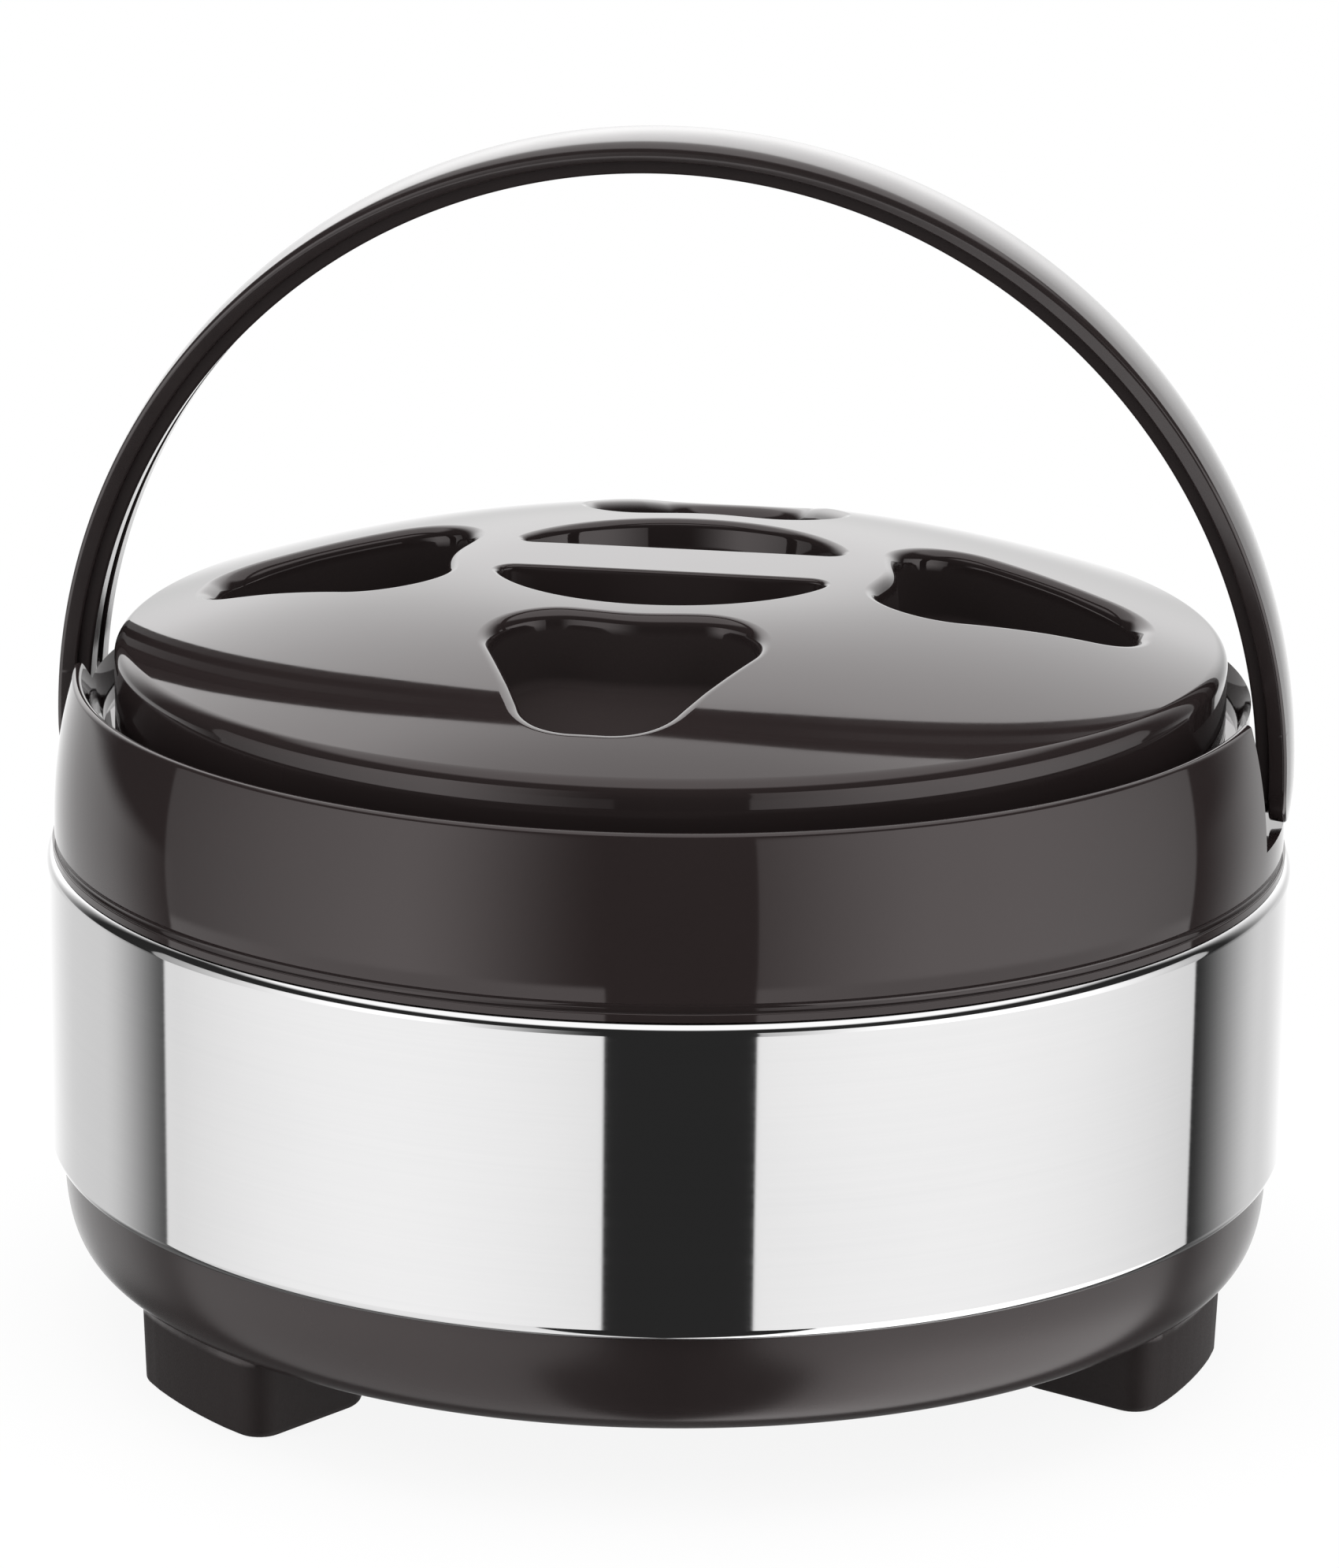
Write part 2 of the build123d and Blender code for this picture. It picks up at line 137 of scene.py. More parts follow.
def rounded(corners, steps):
    # Corner points, each with a radius, as points along straight lines and arcs
    points = []
    for before, here, after in zip(corners[-1:] + corners[:-1], corners, corners[1:] + corners[:1]):
        corner, radius = Vector(here[:2]), here[2]
        if not radius:
            points.append(corner)
            continue
        back = (Vector(before[:2]) - corner).normalized()
        onward = (Vector(after[:2]) - corner).normalized()
        half = back.angle(onward) / 2
        centre = corner + (back + onward).normalized() * radius / sin(half)
        start = corner + back * radius / tan(half) - centre
        finish = corner + onward * radius / tan(half) - centre
        sweep = atan2(start.cross(finish), start.dot(finish))
        points += [centre + Matrix.Rotation(sweep * k / steps, 2) @ start for k in range(steps + 1)]
    return points


def quads(first, rows, count, loop_rows=False, loop_columns=True):
    # Four-sided faces between rows of count points each, the first of them being point number first.
    # The last row meets the first one if loop_rows, and each row closes on itself if loop_columns.
    faces = []
    for row in range(rows if loop_rows else rows - 1):
        low, high = first + row * count, first + (row + 1) % rows * count
        for k in range(count if loop_columns else count - 1):
            following = (k + 1) % count
            faces.append((low + k, low + following, high + following, high + k))
    return faces


def flipped(faces):
    # Four-sided faces turned to their other side
    return [(a, d, c, b) for a, b, c, d in faces]


def lathe(profile, segments=384):
    # Points and faces of a closed profile of radius and height, turned round the dish's axis
    points = []
    for turn in range(segments):
        angle = 2 * pi * turn / segments
        points += [(r * cos(angle) * mm, r * sin(angle) * mm, z * mm) for r, z in profile]
    return points, flipped(quads(0, segments, len(profile), loop_rows=True))


def solid(name, points, faces):
    # A closed mesh object with its doubled points welded and its faces turned outwards
    mesh = bpy.data.meshes.new(name)
    mesh.from_pydata(points, [], faces)
    work = bmesh.new()
    work.from_mesh(mesh)
    bmesh.ops.remove_doubles(work, verts=work.verts, dist=1e-7)
    bmesh.ops.recalc_face_normals(work, faces=work.faces)
    work.to_mesh(mesh)
    work.free()
    made = bpy.data.objects.new(name, mesh)
    bpy.context.scene.collection.objects.link(made)
    return made


def coat(made, finish):
    # Gives a piece one material and no other
    made.data.materials.clear()
    made.data.materials.append(finish)


def fit(made, finish, body, node):
    # Shades a finished piece and puts it in the place of its CAD piece
    made.data.shade_smooth()
    made.data.set_sharp_from_angle(angle=crease)
    coat(made, finish)
    smoothing = made.modifiers.new("even_shading", "WEIGHTED_NORMAL")
    smoothing.keep_sharp = True
    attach(made, body)
    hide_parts(node)


def sheet_profile(outer, thick):
    # Bent sheet: the path of its outer face, closed along a path one thickness to its left
    inner = []
    for k, point in enumerate(outer):
        along = (outer[min(k + 1, len(outer) - 1)] - outer[max(k - 1, 0)]).normalized()
        inner.append(point + Vector((-along.y, along.x)) * thick)
    return outer + inner[::-1]


mirror_steel, shade, spot = new_finish("mirror_steel")
x, y, z = axes(shade, spot)
lines = wheel_lines(shade, x, y, z, 6, 1400)
cloud = noise(shade, spot, 22.0)
surface(shade, {
    "Base Color": mix_colours(shade, cloud * 0.6 + lines * 0.4, *band_greys),
    "Metallic": 1.0,
    "Roughness": 0.02 + lines * 0.03 + cloud * 0.015,
    "Normal": bump(shade, lines, 0.04, 0.00004),
})

band_path = rounded([
    (band_lip, band_low, 0),
    (band_radius, band_low, band_bend),
    (band_radius, band_top, band_bend),
    (band_lip, band_top, 0),
], 12)
steel_band = solid("steel_band", *lathe(sheet_profile(band_path, sheet)))
fit(steel_band, mirror_steel, "pot", "outer_shell")


# The base is a satin black moulding that closes the body underneath and is pressed into the band.
# Its side curves in to a flat floor, and three feet with rounded corners stand out of it.
# The fine spark-eroded grain of its mould shows on every face, and the feet are left matt.

base_radius, base_floor, base_wall, fill_hole = 117.4, 14.6, 2.6, 8.0
side_pull, floor_pull, floor_edge = 16.6, 114.0, 100.0
inside_radius, inside_top, inside_pull, floor_in_pull, floor_in_edge = 114.6, 28.6, 18.1, 111.5, 98.0
spigot_radius, spigot_bore, spigot_low, spigot_top = 114.2, 111.6, 31.6, 43.4
foot_outer, foot_inner, foot_half_angle, foot_turn = 111.0, 80.0, radians(11.5), radians(105.5)
foot_outer_corner, foot_inner_corner, foot_edge, foot_draft = 6.0, 8.0, 1.5, radians(2)
foot_top, foot_middle, matt_above, matt_below = 16.2, 9.0, 15.0, 14.2
base_blacks = (0.0165, 0.0125, 0.0125, 1), (0.0225, 0.0175, 0.0172, 1)
plastic_ior, warm_shine = 1.5, (1.0, 0.92, 0.92, 1)
mould_grain = 2600.0


def ramp(shade, value, start, end):
    # 0 at start, 1 at end and an even change between them, whichever is the larger
    return shade.node("ShaderNodeMapRange", {}, {"Value": value, "From Min": start, "From Max": end})


def matt_moulding(shade, colour, grain, roughness, shine, relief):
    # A surface that mirrors little, with the grain of its mould standing out of it
    return {
        "Base Color": colour,
        "Roughness": roughness + grain * 0.2,
        "IOR": plastic_ior,
        "Specular IOR Level": shine,
        "Normal": bump(shade, grain, relief, 0.00012),
    }


def two_surfaces(shade, share, first, second):
    # Two Principled surfaces, the second one where share is 1, joined to the material's output
    skins = [shade.node("ShaderNodeBsdfPrincipled", {}, sockets) for sockets in (first, second)]
    blended = shade.node("ShaderNodeMixShader", {}, {0: share, 1: skins[0], 2: skins[1]})
    shade.node("ShaderNodeOutputMaterial", {}, {"Surface": blended})


def polar(radius, angle):
    return radius * cos(angle), radius * sin(angle)


def turned(plan, angle):
    # Points of a plan turned round the dish's axis
    c, s = cos(angle), sin(angle)
    return np.stack([plan[:, 0] * c - plan[:, 1] * s, plan[:, 0] * s + plan[:, 1] * c], -1)


def even(points, spacing):
    # A closed outline with its points spread evenly along it
    loop = np.array([(p[0], p[1]) for p in points] + [(points[0][0], points[0][1])])
    run = np.concatenate([[0], np.cumsum(np.linalg.norm(np.diff(loop, axis=0), axis=1))])
    at = np.linspace(0, run[-1], int(run[-1] / spacing) + 1)[:-1]
    return np.stack([np.interp(at, run, loop[:, 0]), np.interp(at, run, loop[:, 1])], -1)


def outward(outline):
    # Unit normals of an outline that runs anticlockwise
    along = np.roll(outline, -1, axis=0) - np.roll(outline, 1, axis=0)
    along /= np.linalg.norm(along, axis=1)[:, None]
    return np.stack([along[:, 1], -along[:, 0]], -1)


def stack(rings):
    # Points and faces of a pile of closed rings of equal length, with a cap at each end
    count = len(rings[0])
    points = [tuple(p) for ring in rings for p in ring]
    caps = [tuple(range(count)), tuple(range(len(points) - count, len(points)))]
    return points, caps + quads(0, len(rings), count)


def carve(made, tool, operation):
    # Adds or cuts one solid with another, which is then thrown away
    change = made.modifiers.new("carve", "BOOLEAN")
    change.object = tool
    change.operation = operation
    change.solver = "EXACT"
    bpy.context.view_layer.update()
    result = made.evaluated_get(bpy.context.evaluated_depsgraph_get())
    made.data = bpy.data.meshes.new_from_object(result)
    made.modifiers.clear()
    bpy.data.objects.remove(tool)


satin_black, shade, spot = new_finish("satin_black")
x, y, z = axes(shade, spot)
grain = noise(shade, spot, mould_grain)
patches = noise(shade, spot, 38.0, 3.0)
black = mix_colours(shade, patches, *base_blacks)
satin = {
    "Base Color": black,
    "Roughness": 0.15 + patches * 0.06 + grain * 0.05,
    "IOR": plastic_ior,
    "Specular Tint": warm_shine,
    "Normal": bump(shade, grain, 0.06, 0.00010),
}
on_feet = ramp(shade, z, matt_above * mm, matt_below * mm)
two_surfaces(shade, on_feet, satin, matt_moulding(shade, black, grain, 0.45, 0.14, 0.12))

floor_in = base_floor + base_wall
base_side = interpolate_bezier(
    (base_radius, band_low, 0), (base_radius, side_pull, 0),
    (floor_pull, base_floor, 0), (floor_edge, base_floor, 0), 40)
base_inside = interpolate_bezier(
    (floor_in_edge, floor_in, 0), (floor_in_pull, floor_in, 0),
    (inside_radius, inside_pull, 0), (inside_radius, inside_top, 0), 24)
base_profile = [p[:2] for p in base_side] + [(fill_hole, base_floor), (fill_hole, floor_in)]
base_profile += [p[:2] for p in base_inside] + [(spigot_bore, spigot_low), (spigot_bore, spigot_top)]
base_profile += [(spigot_radius, spigot_top), (spigot_radius, band_low)]
base = solid("base", *lathe(base_profile))

foot_corners = [(*polar(foot_inner, -foot_half_angle), foot_inner_corner)]
foot_corners += [(*polar(foot_outer, -foot_half_angle), foot_outer_corner)]
foot_corners += [(*polar(foot_outer, radians(k)), 0) for k in range(-6, 7, 2)]
foot_corners += [(*polar(foot_outer, foot_half_angle), foot_outer_corner)]
foot_corners += [(*polar(foot_inner, foot_half_angle), foot_inner_corner)]
foot_plan = even(rounded(foot_corners, 16), 1.0)
foot_face = outward(foot_plan)
foot_levels = [(foot_top, 0.0), (foot_middle, (foot_top - foot_middle) * tan(foot_draft))]
for k in range(9):
    edge_turn = radians(90 * k / 8)
    inset = (foot_top - foot_edge) * tan(foot_draft) + foot_edge * (1 - cos(edge_turn))
    foot_levels.append((foot_edge * (1 - sin(edge_turn)), inset))
for number in range(3):
    rings = []
    for level, inset in foot_levels:
        plan = turned(foot_plan - foot_face * inset, foot_turn + number * 2 * pi / 3)
        rings.append(np.column_stack([plan, np.full(len(plan), level)]) * mm)
    carve(base, solid("foot", *stack(rings)), "UNION")
fit(base, satin_black, "pot", "base_cover")


# A plug closes the hole through which the foam is poured, in the middle of the base's floor.
# It is pressed in from below and is the same satin black as the base.

coat(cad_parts["fill_plug"], satin_black)


# The body is filled with rigid foam between the pot, the band and the base, which keeps food warm.
# It is cream, poured in and set, with small closed cells.

foam_creams = (0.82, 0.76, 0.58, 1), (0.90, 0.86, 0.72, 1)

foam_cream, shade, spot = new_finish("foam_cream")
cells = shade.node("ShaderNodeTexVoronoi", {}, {"Vector": spot, "Scale": 900.0}, "Distance")
surface(shade, {
    "Base Color": mix_colours(shade, noise(shade, spot, 60.0, 3.0), *foam_creams),
    "Roughness": 0.75 + cells * 0.2,
    "Normal": bump(shade, cells, 0.4, 0.0004),
})
coat(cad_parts["body_insulation"], foam_cream)


# The pot is drawn from stainless sheet, and its flange hangs on the collar's seat.
# Its inside is left bright, with fine rings from spinning on the wall and the floor.

pot_mouth, pot_flange, flange_low = 98.9, 104.5, 118.4
pot_floor_radius, pot_floor_low, pot_corner, pot_bend = 97.0, 24.6, 18.0, 2.2
pot_greys = (0.56, 0.555, 0.55, 1), (0.66, 0.655, 0.65, 1)

spun_steel, shade, spot = new_finish("spun_steel")
x, y, z = axes(shade, spot)
spun = wheel_lines(shade, x, y, length(shade, x, y) + z, 4, 1800)
cloud = noise(shade, spot, 30.0)
surface(shade, {
    "Base Color": mix_colours(shade, spun, *pot_greys),
    "Metallic": 1.0,
    "Roughness": 0.14 + spun * 0.10 + cloud * 0.05,
    "Normal": bump(shade, spun, 0.10, 0.00006),
})

pot_path = rounded([
    (pot_flange, flange_low, 0),
    (pot_mouth, flange_low, pot_bend),
    (pot_floor_radius, pot_floor_low, pot_corner),
    (0.0, pot_floor_low, 0),
], 16)
pot = solid("pot", *lathe(sheet_profile(pot_path[::-1], sheet)))
fit(pot, spun_steel, "pot", "inner_pot")


# The collar is a high-gloss black moulding round the pot's mouth: a thin ring and a shadow line on the
# band, a wall that leans in to a thin rim, and inside it the groove and seat for the lid and the pot.
# A recess runs round its back, where the folded handle lies, with a blind hole at each end for a pin.

ring_radius, ring_top, cove_foot, cove_middle = 118.8, 96.4, 118.1, (117.95, 97.3)
wall_radius, wall_low, wall_middle = 118.4, 98.2, (117.4, 113.8)
rim_radius, rim_top, rim_bore, groove_top, seat = 113.95, 129.4, 108.6, 120.7, 119.2
flange_space, pot_hole, web_top, web_radius, web_low, skirt_bore = 104.8, 101.4, 116.0, 103.5, 101.0, 115.8
pocket_floor, pocket_front, pocket_low, pocket_clear, pocket_top = 111.2, 9.5, 103.6, 125.0, 140.0
pivot, pin_bore, bore_end, bore_mouth = 113.4, 3.55, 103.9, 112.0
gloss_blacks = (0.0185, 0.0140, 0.0140, 1), (0.0225, 0.0170, 0.0168, 1)


def bowed(start, middle, finish, steps):
    # Points of a gentle curve through three points
    start, middle, finish = Vector(start), Vector(middle), Vector(finish)
    pull = 2 * middle - (start + finish) / 2
    spread = [k / steps for k in range(steps + 1)]
    return [(1 - t) ** 2 * start + 2 * t * (1 - t) * pull + t**2 * finish for t in spread]


def high_gloss(shade, spot):
    # The gloss that the collar and the lid share, with the long ripples of a polished mould
    ripple = noise(shade, spot, 34.0, 1.0)
    haze = noise(shade, spot, 420.0, 3.0)
    return {
        "Base Color": mix_colours(shade, ripple, *gloss_blacks),
        "Roughness": 0.030 + haze * 0.030,
        "IOR": plastic_ior,
        "Specular Tint": warm_shine,
        "Normal": bump(shade, ripple, 0.05, 0.0006),
    }


gloss_black, shade, spot = new_finish("gloss_black")
surface(shade, high_gloss(shade, spot))

cove = bowed((cove_foot, ring_top), cove_middle, (wall_radius, wall_low), 10)
wall_curve = bowed((wall_radius, wall_low), wall_middle, (rim_radius, rim_top), 40)
collar_corners = [(ring_radius, band_top, 0), (ring_radius, ring_top, 0.25)]
collar_corners += [(p.x, p.y, 0) for p in cove] + [(p.x, p.y, 0) for p in wall_curve[1:-4]]
collar_corners += [(rim_radius, rim_top, 1.0), (rim_bore, groove_top, 1.2), (rim_bore, seat, 0)]
collar_corners += [(flange_space, seat, 0), (flange_space, flange_low, 0), (pot_hole, flange_low, 0)]
collar_corners += [(pot_hole, web_top, 0), (web_radius, web_top, 0), (web_radius, web_low, 0)]
collar_corners += [(skirt_bore, web_low, 0), (skirt_bore, band_top, 0)]
collar = solid("collar_ring", *lathe([tuple(p) for p in rounded(collar_corners, 12)], 512))
pocket = [(pocket_floor, pocket_low), (pocket_clear, pocket_low)]
pocket += [(pocket_clear, pocket_top), (pocket_floor, pocket_top)]
rings = []
for turn in np.radians(np.linspace(-pocket_front, 180 + pocket_front, 284)):
    rings.append([(r * cos(turn) * mm, r * sin(turn) * mm, up * mm) for r, up in pocket])
carve(collar, solid("recess_tool", *stack(rings)), "DIFFERENCE")
hole = [polar(pin_bore, 2 * pi * k / 48) for k in range(48)]
for side in (1, -1):
    rings = []
    for reach in (bore_end, bore_mouth):
        rings.append([(side * reach * mm, across * mm, (pivot + up) * mm) for across, up in hole])
    carve(collar, solid("hole_tool", *stack(rings)), "DIFFERENCE")
fit(collar, gloss_black, "pot", "collar")


# The bail is one black moulding, glossier than the base: a crowned strap whose edges are crisp on the arms
# and round over the top, with faces that draw in to a narrower flange, matt at its sides and grooved along
# its middle. It stands tipped a little forward, and the pins on its rounded ends turn in the collar.

bail_radius, bail_lean, strap_half, strap_root, strap_inner = 119.95, radians(3), 9.0, 115.8, 113.3
strap_crown, strap_draft, edge_on_arms, edge_gain = 0.8, 0.45, 0.7, 1.7
flange_half, groove_half, groove_depth, groove_stop, groove_run = 7.25, 2.0, 2.5, 5.0, 1.4
pin_radius, pin_tip, shoulder_radius, shoulder_face, pin_root = 3.5, 104.2, 6.0, 111.4, strap_inner + 1.2
end_steps, pin_steps, matt_under, matt_beside = 48, 64, (0.1160, 0.1156), (0.0065, 0.0069)
bail_blacks = (0.0180, 0.0138, 0.0138, 1), (0.0230, 0.0175, 0.0172, 1)

handle_black, shade, spot = new_finish("handle_black")
x, y, z = axes(shade, spot)
ripple = noise(shade, spot, 90.0)
haze = noise(shade, spot, 900.0)
grain = noise(shade, spot, mould_grain)
black = mix_colours(shade, ripple, *bail_blacks)
gloss = {
    "Base Color": black,
    "Roughness": 0.12 + ripple * 0.04 + haze * 0.05,
    "IOR": plastic_ior,
    "Specular Tint": (1.0, 0.93, 0.93, 1),
    "Coat Weight": 0.35 + ripple * 0.2,
    "Coat Roughness": 0.12,
    "Normal": bump(shade, haze, 0.03, 0.00006),
}
over_pivot = z - pivot * mm
up_bail = over_pivot * cos(bail_lean) - y * sin(bail_lean)
off_middle = shade.maths("ABSOLUTE", y * cos(bail_lean) + over_pivot * sin(bail_lean))
under_strap = ramp(shade, length(shade, x, up_bail), *matt_under)
flange_side = under_strap * ramp(shade, off_middle, *matt_beside)
two_surfaces(shade, flange_side, gloss, matt_moulding(shade, black, grain, 0.50, 0.12, 0.15))


def half_at(angle):
    # Half of the bail's section at an angle along it: the outer edge grows rounder towards the top, and the
    # groove ends in a quarter round near the pivots
    edge = edge_on_arms + edge_gain * sin(radians(angle)) ** 4
    section = []
    for across in (0.0, 1.2, 2.4, 3.6, 4.8, 6.0):
        section.append((bail_radius - strap_crown * (across / strap_half) ** 2, across, 0))
    section += [(bail_radius - strap_crown, strap_half, edge), (strap_root, strap_half - strap_draft, 0.5)]
    section += [(strap_root, flange_half, 0.4), (strap_inner, flange_half, 0.6)]
    section += [(strap_inner, groove_half, 0.4), (strap_inner + groove_depth, groove_half, 0.5)]
    section += [(strap_inner + groove_depth, 0.0, 0)]
    half = np.array([tuple(p) for p in rounded(section, 8)])
    in_groove = (half[:, 0] < bail_radius - 2.8) & (half[:, 1] < groove_half + 1.0)
    into = min(max((min(angle, 180 - angle) - groove_stop) / groove_run, 0.0), 1.0)
    half[in_groove, 0] = strap_inner + (half[in_groove, 0] - strap_inner) * sqrt(1 - (1 - into) ** 2)
    return half


angles = list(np.linspace(0, 180, 241))
angles += [groove_stop + step for step in (0.02, 0.08, 0.18, 0.3, 0.5, 0.8, 1.1, groove_run)]
angles = sorted(set(angles + [180 - angle for angle in angles]))
points = []
for angle in angles:
    section = half_at(angle)
    loop = np.concatenate([section, (section * (1, -1))[-2:0:-1]])
    for u, v in loop:
        points.append((u * cos(radians(angle)) * mm, v * mm, (pivot + u * sin(radians(angle))) * mm))
faces = quads(0, len(angles), len(loop))
pin = rounded([
    (0.0, pin_tip, 0), (pin_radius, pin_tip, 0.6), (pin_radius, shoulder_face, 0.2),
    (shoulder_radius, shoulder_face, 0.5), (shoulder_radius, pin_root, 0), (0.0, pin_root, 0),
], 6)
for side in (1, -1):
    section, first = half_at(0.0), len(points)
    for k in range(end_steps + 1):
        turn = pi * k / end_steps
        points += [(side * u * mm, v * cos(turn) * mm, (pivot - v * sin(turn)) * mm) for u, v in section]
    faces += quads(first, end_steps + 1, len(section), loop_columns=False)
    first = len(points)
    for k in range(pin_steps):
        turn = 2 * pi * k / pin_steps
        for r, reach in pin:
            points.append((side * reach * mm, r * cos(turn) * mm, (pivot + r * sin(turn)) * mm))
    faces += quads(first, pin_steps, len(pin), loop_rows=True, loop_columns=False)
tipped = []
for east, north, up in points:
    up -= pivot * mm
    forward = north * cos(bail_lean) - up * sin(bail_lean)
    tipped.append((east, forward, north * sin(bail_lean) + up * cos(bail_lean) + pivot * mm))
bail = solid("bail_handle", tipped, faces)
fit(bail, handle_black, "handle", "handle")


# The liner is a shallow pan of stainless sheet under the lid, which plugs the mouth of the pot.
# Its flat rim is held inside the lid's skirt, and the lid's foam lies in it.

liner_radius, liner_rim, plug_radius, pan_low = 103.8, 122.5, 96.8, 114.7

liner_path = rounded([
    (0.0, pan_low, 0),
    (plug_radius, pan_low, pot_bend),
    (plug_radius, liner_rim, pot_bend),
    (liner_radius, liner_rim, 0),
], 10)
liner = solid("lid_pan", *lathe(sheet_profile(liner_path, sheet)))
fit(liner, spun_steel, "lid", "lid_liner")


# The lid is filled too, with a disc of the same cream foam between the liner and the moulding over it.
# It shows only when the lid is taken apart.

coat(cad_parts["lid_insulation"], foam_cream)


# The lid is a high-gloss black moulding: a shallow dome with four petal recesses round a finger bowl,
# which a flat bar bridges so that the lid can be gripped. Every recess has a rolled lip, a drafted wall and
# a rounded floor, and the moulding keeps one wall thickness all over. Inside the petals it is left matt.

lid_top, lid_radius, lid_skirt, lid_wall, lid_edge = 151.2, 106.5, 119.5, 2.4, 3.5
crown, bend_from, bend_to, bend, ease = 149.54, 34.0, 77.0, (0.0062, 0.0032), (16.0, 14.0)
petal_near, petal_near_half, petal_far, petal_far_half, petal_corner = 40.5, 31.59, 90.0, 11.5, 13.0
petal_depth, petal_round, petal_slope = 14.0, 2.0, radians(6)
petal_bulge, bulge_half, bulge_end, bulge_fade = 2.2, 10.0, 52.0, 8.0
petal_lip_near, petal_lip_gain, lip_from, lip_over = 2.6, 0.8, 74.0, 14.0
bowl_radius, bar_half, bowl_corner, bowl_depth, bowl_round = 34.5, 9.5, 3.5, 16.0, 1.5
bowl_lip_bar, bowl_lip_gain, bowl_slope_bar, bowl_slope_gain, bar_fade = 0.9, 1.1, 6, 7, 8.0
matt_deep, matt_from, matt_to = (0.0026, 0.0038), (0.0365, 0.0375), (0.0935, 0.0925)
around, outline_step, grid_step, grid_rows = 480, 0.9, 2.8, 40
petal_blacks = (0.024, 0.0188, 0.0188, 1), (0.029, 0.0226, 0.0222, 1)
dome_bends = (bend_from, bend[0], ease[0]), (bend_to, -bend[1], ease[1])


def dome_slope(plan):
    # How steeply the dome falls away from its middle: level under the bar, then bending ever less
    total = 0.0
    for begin, rate, soft in dome_bends:
        past = np.linalg.norm(plan, axis=-1) - begin
        total = total + rate * np.where(past > soft, past, np.maximum(past + soft, 0) ** 2 / (4 * soft))
    return total


def dome_at(plan):
    # Height of the dome over points of the plan, which is the sum of its slope
    height = crown
    for begin, rate, soft in dome_bends:
        past = np.linalg.norm(plan, axis=-1) - begin
        eased = np.maximum(past + soft, 0) ** 3 / (12 * soft)
        height = height - rate * np.where(past > soft, past**2 / 2 + soft**2 / 6, eased)
    return height


def climb(plan, side):
    # Rise of the dome per step along the unit vectors side
    return -dome_slope(plan) * np.sum(plan * side, axis=-1) / np.linalg.norm(plan, axis=-1)


def unit(vectors):
    return vectors / np.linalg.norm(vectors, axis=-1)[:, None]


def fillet_arc(corner, first, second, radius, steps):
    # Points of a round between two directions that leave a corner, for every section at once
    half_turn = np.arccos(np.sum(first * second, axis=-1)) / 2
    centre = corner + unit(first + second) * (radius / np.sin(half_turn))[:, None]
    start = corner + first * (radius / np.tan(half_turn))[:, None] - centre
    finish = corner + second * (radius / np.tan(half_turn))[:, None] - centre
    crossed = start[:, 0] * finish[:, 1] - start[:, 1] * finish[:, 0]
    sweep = np.arctan2(crossed, np.sum(start * finish, axis=-1))
    arc_points = []
    for k in range(steps + 1):
        c, s = np.cos(sweep * k / steps), np.sin(sweep * k / steps)
        across, up = start[:, 0] * c - start[:, 1] * s, start[:, 0] * s + start[:, 1] * c
        arc_points.append(centre + np.stack([across, up], -1))
    return arc_points


def recess(plan, depth, lip, draft, floor_round):
    # Rings of points from the dome over the lip, down the wall and across the floor of one recess
    side = outward(plan)
    reach = np.zeros(len(plan))
    for _ in range(4):
        height = dome_at(plan + side * reach[:, None])
        reach = -(lid_top - height) * np.tan(draft)
    corner = np.stack([reach, height], -1)
    out = unit(np.stack([np.ones(len(plan)), climb(plan + side * reach[:, None], side)], -1))
    down = np.stack([-np.sin(draft), -np.cos(draft)], -1)
    sections = fillet_arc(corner, out, down, lip, 14)
    run = np.full(len(plan), depth)
    for _ in range(8):
        foot = corner + down * run[:, None]
        run += (foot[:, 1] - dome_at(plan + side * foot[:, :1]) + depth) / np.cos(draft)
    foot = corner + down * run[:, None]
    inward = unit(np.stack([-np.ones(len(plan)), -climb(plan + side * foot[:, :1], side)], -1))
    turn_in = fillet_arc(foot, -down, inward, floor_round, 8)
    lip_end = sections[-1]
    sections += [lip_end + (turn_in[0] - lip_end) * share for share in (0.06, 0.35, 0.65, 0.94)]
    sections += turn_in
    rings = [np.concatenate([plan + side * s[:, :1], s[:, 1:]], axis=1) for s in sections]
    rings[0][:, 2] = dome_at(rings[0][:, :2])
    edge, middle = rings[-1][:, :2], rings[-1][:, :2].mean(axis=0)
    for share in (0.06, 0.2, 0.4, 0.6, 0.8):
        inner = edge + (middle - edge) * share
        rings.append(np.concatenate([inner, dome_at(inner)[:, None] - depth], axis=1))
    return rings, np.append(middle, dome_at(middle) - depth)


def arc(centre_x, centre_y, radius, start, sweep, steps):
    turns = [start + sweep * k / steps for k in range(steps + 1)]
    return [(centre_x + radius * cos(turn), centre_y + radius * sin(turn)) for turn in turns]


petal_plan = even(rounded([
    (petal_near, -petal_near_half, petal_corner), (petal_far, -petal_far_half, petal_corner),
    (petal_far, petal_far_half, petal_corner), (petal_near, petal_near_half, petal_corner),
], 24), outline_step)
bulge = np.exp(-(petal_plan[:, 1] / bulge_half) ** 2)
bulge *= np.clip((bulge_end - petal_plan[:, 0]) / bulge_fade, 0, 1)
petal_plan[:, 0] += petal_bulge * bulge
petal_lip = petal_lip_near + petal_lip_gain * np.clip((petal_plan[:, 0] - lip_from) / lip_over, 0, 1)
petal_draft = np.full(len(petal_plan), petal_slope)
corner_y = bar_half + bowl_corner
corner_x = sqrt((bowl_radius - bowl_corner) ** 2 - corner_y**2)
corner_turn = atan2(corner_y, corner_x)
bowl_points = arc(corner_x, corner_y, bowl_corner, -pi / 2, corner_turn + pi / 2, 24)
bowl_points += arc(0.0, 0.0, bowl_radius, corner_turn, pi - 2 * corner_turn, 96)[1:]
bowl_points += arc(-corner_x, corner_y, bowl_corner, pi - corner_turn, corner_turn + pi / 2, 24)[1:]
bowl_plan = even(bowl_points, outline_step)
from_bar = np.clip((bowl_plan[:, 1] - bar_half) / bar_fade, 0, 1)
